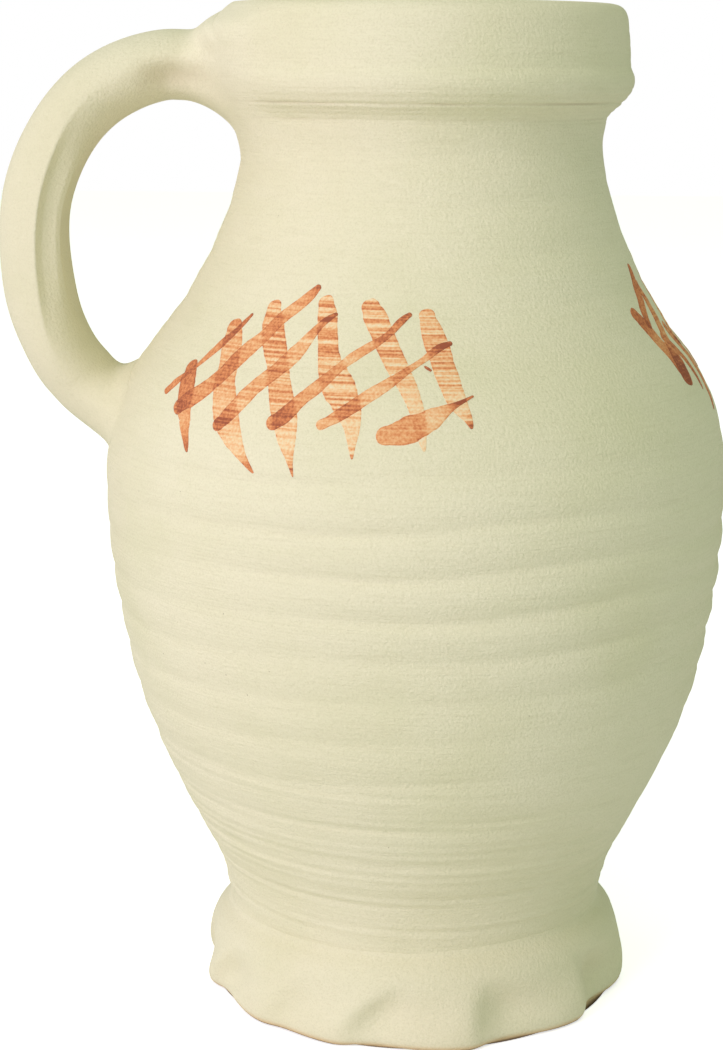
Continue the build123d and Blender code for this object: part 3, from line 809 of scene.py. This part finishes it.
def slip_strokes(name, strokes, turn, lift, proud, tip_blunt=0.0, under=()):
    """All strokes of one coat of one lattice as a piece, each a thin closed skin of slip."""
    skins, faces, loads, dryness, laid = [], [], [], [], []
    count = 0
    for stations, dry in strokes:
        top, bottom, load, edge, half = stroke_points(stations, turn, lift, proud, tip_blunt)
        rows, columns = top.shape[:2]
        full = load + crossing_load * lies_over(top, under) + edge_load * fade(edge, 0.75, 0.97)
        skins += [top.reshape(-1, 3), bottom.reshape(-1, 3)]
        faces += stroke_faces(count, rows, columns)
        loads += full.ravel().tolist() * 2
        dryness += [dry] * (2 * rows * columns)
        count += 2 * rows * columns
        laid.append((top[:, columns // 2], half))
    piece = smooth_piece(name, np.concatenate(skins), faces)
    for label, values in (("load", loads), ("dry", dryness)):
        piece.data.attributes.new(label, "FLOAT", "POINT").data.foreach_set("value", values)
    return piece, laid


def stretch(tree, value, start, end, low, high):
    feeds = {"Value": value, "From Min": start, "From Max": end, "To Min": low, "To Max": high}
    return add_node(tree, "ShaderNodeMapRange", feeds).outputs[0]


def slip_finish():
    """Iron-red slip, from a pale wash over the clay to a dark pool, broken by level dry streaks."""
    finish = matt_finish("iron_slip", slip_roughness)
    tree = finish.node_tree
    place = clay_place(tree)
    load = add_node(tree, "ShaderNodeAttribute", attribute_name="load").outputs["Fac"]
    dry = add_node(tree, "ShaderNodeAttribute", attribute_name="dry").outputs["Fac"]
    streaks = stretch(tree, wheel_lines(tree, place, 1.3, 1700.0, 3.0), 0.4, 0.6, -0.36, 0.28)
    streaks = times(tree, times(tree, streaks, limits(tree, load, 0.15, 0.55)), dry)
    grain = stretch(tree, noise(tree, place, 1900.0, 2.0), 0.3, 0.7, -0.16, 0.16)
    amount = math_node(tree, "ADD", math_node(tree, "ADD", load, streaks), grain)
    ramp = add_node(tree, "ShaderNodeValToRGB", {0: math_node(tree, "DIVIDE", amount, fullest_load)})
    thinnest, thickest = ramp.color_ramp.elements
    thinnest.color, thickest.color = slip_colours[0][1], slip_colours[-1][1]
    for stop, colour in slip_colours[1:-1]:
        ramp.color_ramp.elements.new(stop / fullest_load).color = colour
    give_colour(finish, ramp.outputs[0])
    give_grain(finish, wheel_lines(tree, place, 5.0, 1500.0), 0.3, 0.0003)
    return finish


iron_slip = slip_finish()
for side, (turn, lift, uprights, slants) in panels.items():
    first_coat, laid = slip_strokes(f"{side}_upright_slip", uprights, turn, lift, first_coat_proud)
    second_coat, _ = slip_strokes(
        f"{side}_slanting_slip", slants, turn, lift, second_coat_proud, slant_blunt, laid,
    )
    for coat, node in ((first_coat, f"{side}_uprights"), (second_coat, f"{side}_diagonals")):
        coat.data.materials.append(iron_slip)
        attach(coat, "root")
        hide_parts(node)

# ---- Studio ----
# A white table and backdrop in one, a big soft lamp to the left of the camera, weaker
# ones above, to the right and behind on the left, and an even pale surround.
ground_reach = 3.0                 # metres, as all of the studio
ground_drop = 0.0002
ground_white = (0.9, 0.9, 0.9, 1)
ground_glow = 0.62
lamp_size = 0.9
lamps = [                          # place, power, colour
    ("left_lamp", (-1.0, -1.15, 0.75), 15.1, (1.0, 0.873, 1.02)),
    ("back_lamp", (-1.3, 0.8, 0.8), 2.6, (1.0, 0.95, 1.35)),
    ("right_lamp", (1.3, -0.7, 0.5), 0.9, (0.85, 1.0, 0.85)),
    ("top_lamp", (0.1, -0.6, 1.5), 2.8, (0.93, 1.0, 0.84)),
]
surround_tone, surround_strength = (0.87, 1.0, 0.79, 1), 0.465
jug_middle = Vector((0, 0, jug_height / 2 * millimetre))


def seen_by_camera(tree):
    return add_node(tree, "ShaderNodeLightPath").outputs["Is Camera Ray"]


white_ground = bpy.data.materials.new("white_ground")
white_ground.use_nodes = True
ground_tree = white_ground.node_tree
ground_shader = ground_tree.nodes["Principled BSDF"]
ground_shader.inputs["Base Color"].default_value = ground_white
ground_shader.inputs["Roughness"].default_value = 0.9
ground_shader.inputs["Emission Color"].default_value = (1, 1, 1, 1)
glow = times(ground_tree, seen_by_camera(ground_tree), ground_glow)
ground_tree.links.new(glow, ground_shader.inputs["Emission Strength"])
ground_mesh = bpy.data.meshes.new("ground")
ground_corners = [(x * ground_reach, y * ground_reach, 0) for x, y in ((-1, -1), (1, -1), (1, 1), (-1, 1))]
ground_mesh.from_pydata(ground_corners, [], [(0, 1, 2, 3)])
ground_mesh.materials.append(white_ground)
ground = put_in_scene("ground", ground_mesh)
ground.location.z = -ground_drop

for name, place, power, colour in lamps:     # soft square lamps that face the jug's middle
    light = bpy.data.lights.new(name, "AREA")
    light.size, light.energy, light.color = lamp_size, power, colour
    lamp = put_in_scene(name, light)
    lamp.location = place
    lamp.rotation_euler = (jug_middle - Vector(place)).to_track_quat("-Z", "Y").to_euler()

surround = bpy.data.worlds.new("surround")
surround.use_nodes = True
surround_tree = surround.node_tree
even_light = surround_tree.nodes["Background"]
even_light.inputs["Color"].default_value = surround_tone
even_light.inputs["Strength"].default_value = surround_strength
white_view = add_node(surround_tree, "ShaderNodeBackground", {"Color": (1, 1, 1, 1), "Strength": 1.0})
either = add_node(surround_tree, "ShaderNodeMixShader", {
    0: seen_by_camera(surround_tree), 1: even_light.outputs[0], 2: white_view.outputs[0],
})
surround_tree.links.new(either.outputs[0], surround_tree.nodes["World Output"].inputs["Surface"])
bpy.context.scene.world = surround

# ---- Camera ----
# Half a metre away and level with the collar, looking down at the whole jug and a little
# towards the handle, rolled by half a degree.
camera_place = (0, -0.475, 0.20805)
looks_down, looks_left, rolled = np.radians([12.203909, 1.494681, 0.43])
sensor_width = 36                  # millimetres, as the lens
focal_length = 73.71
forward = np.array([
    -np.sin(looks_left) * np.cos(looks_down), np.cos(looks_left) * np.cos(looks_down), -np.sin(looks_down),
])
level = np.array([np.cos(looks_left), np.sin(looks_left), 0.0])
upward = np.cross(level, forward)
right = np.cos(rolled) * level + np.sin(rolled) * upward
top = np.cos(rolled) * upward - np.sin(rolled) * level
lens = bpy.data.cameras.new("camera")
lens.sensor_width, lens.lens, lens.clip_start = sensor_width, focal_length, 0.01
camera = put_in_scene("camera", lens)
facing = Matrix((right, top, -forward)).transposed().to_4x4()
camera.matrix_world = Matrix.Translation(camera_place) @ facing
bpy.context.scene.camera = camera
bpy.context.scene.view_settings.view_transform = "Standard"
